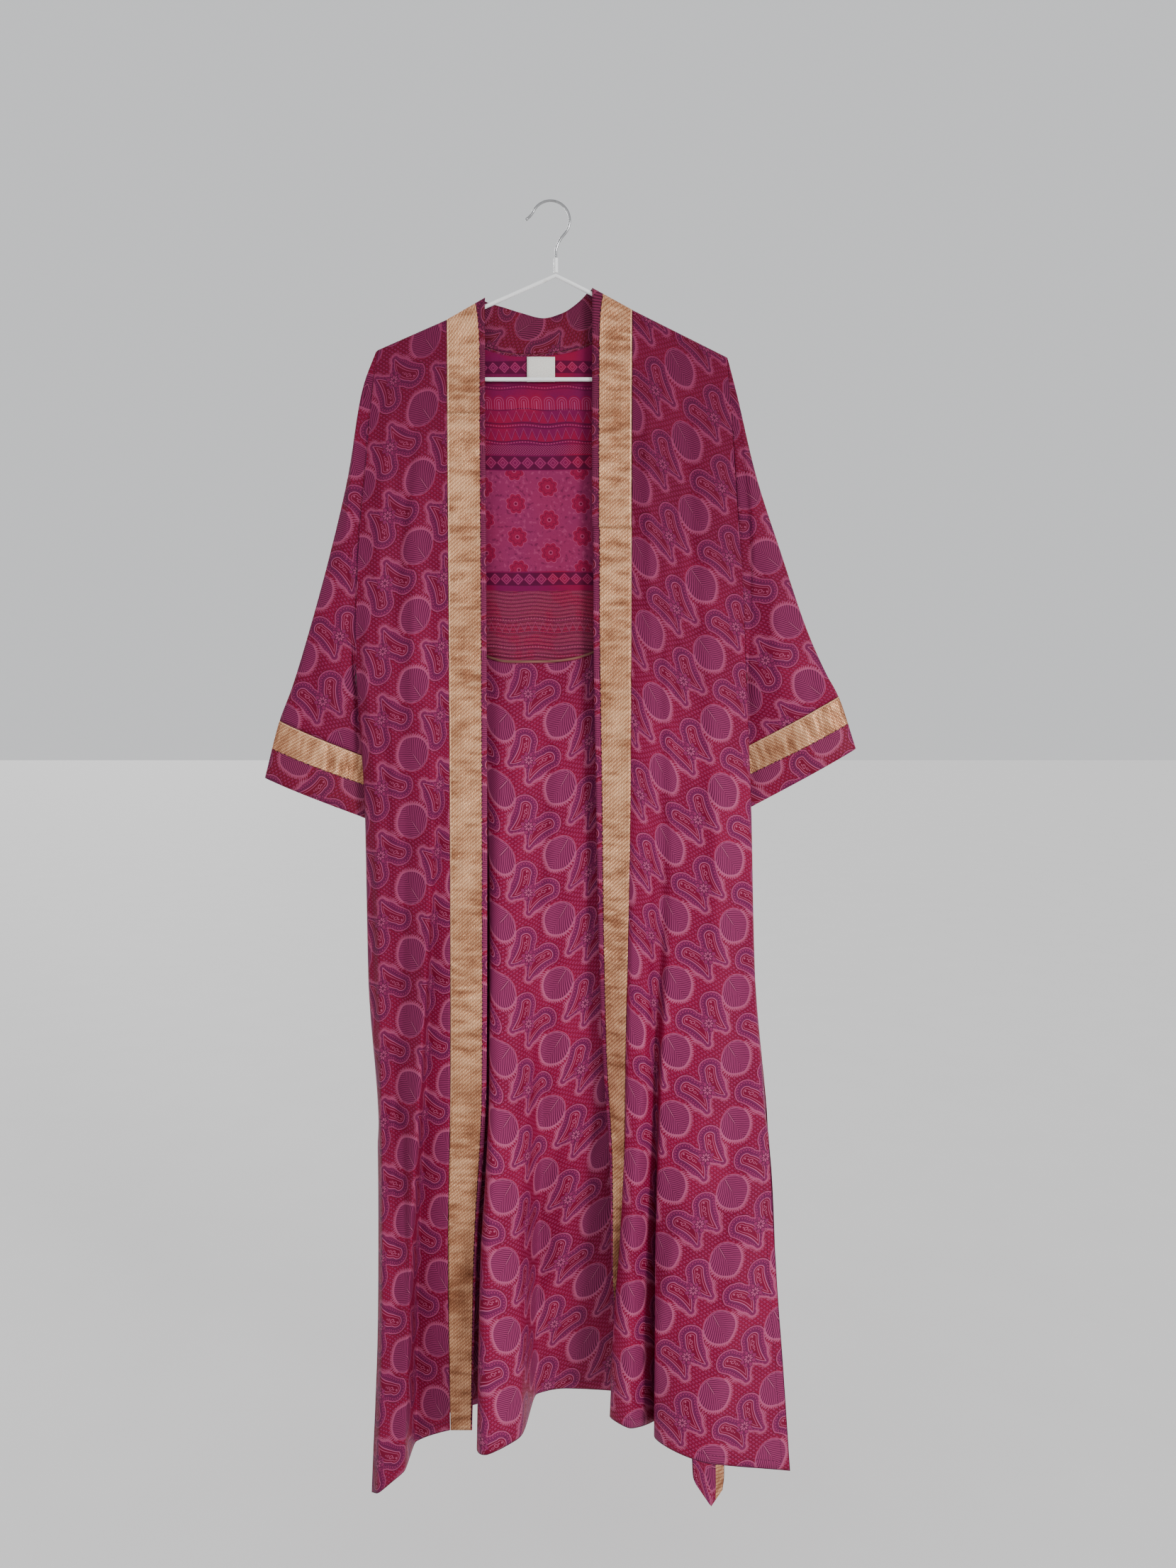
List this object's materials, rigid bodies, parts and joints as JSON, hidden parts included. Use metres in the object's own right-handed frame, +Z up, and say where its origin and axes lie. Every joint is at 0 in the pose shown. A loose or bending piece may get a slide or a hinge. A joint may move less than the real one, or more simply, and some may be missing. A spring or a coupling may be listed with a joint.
{
  "type": "kimono robe on a wire hanger",
  "caption": "Long open silk kimono robe with wide sleeves, border bands and a belt, hanging flat on a coated wire hanger with a hook.",
  "frame": {"origin": "inner top of the hanger's hook, where it rests on its rail or peg", "axes": "+Z up; the robe's front faces -Y; the wearer's left is at +X"},
  "size_m": [0.7124, 0.1144, 1.6064],
  "materials": {
    "printed_silk": "magenta printed sari silk",
    "gold_border_silk": "silk with a woven gold border",
    "border_print_silk": "border-printed silk",
    "label_tape": "matte white tape",
    "chrome_wire": "polished",
    "coated_wire": "white plastic coat"
  },
  "bodies": {
    "root": {"back": "printed_silk", "front_right": "printed_silk", "front_left": "printed_silk", "sleeve_right": "printed_silk", "sleeve_left": "printed_silk", "belt": "printed_silk", "belt_loop_right": "printed_silk", "belt_loop_left": "printed_silk", "cuff_right": "gold_border_silk", "cuff_left": "gold_border_silk", "neckband_back": "gold_border_silk", "neckband_right": "gold_border_silk", "neckband_left": "gold_border_silk", "back_lining": "border_print_silk", "neck_label": "label_tape", "hanger_hook": "chrome_wire", "hanger_neck": "coated_wire", "hanger_frame": "coated_wire"}
  },
  "joints": []
}
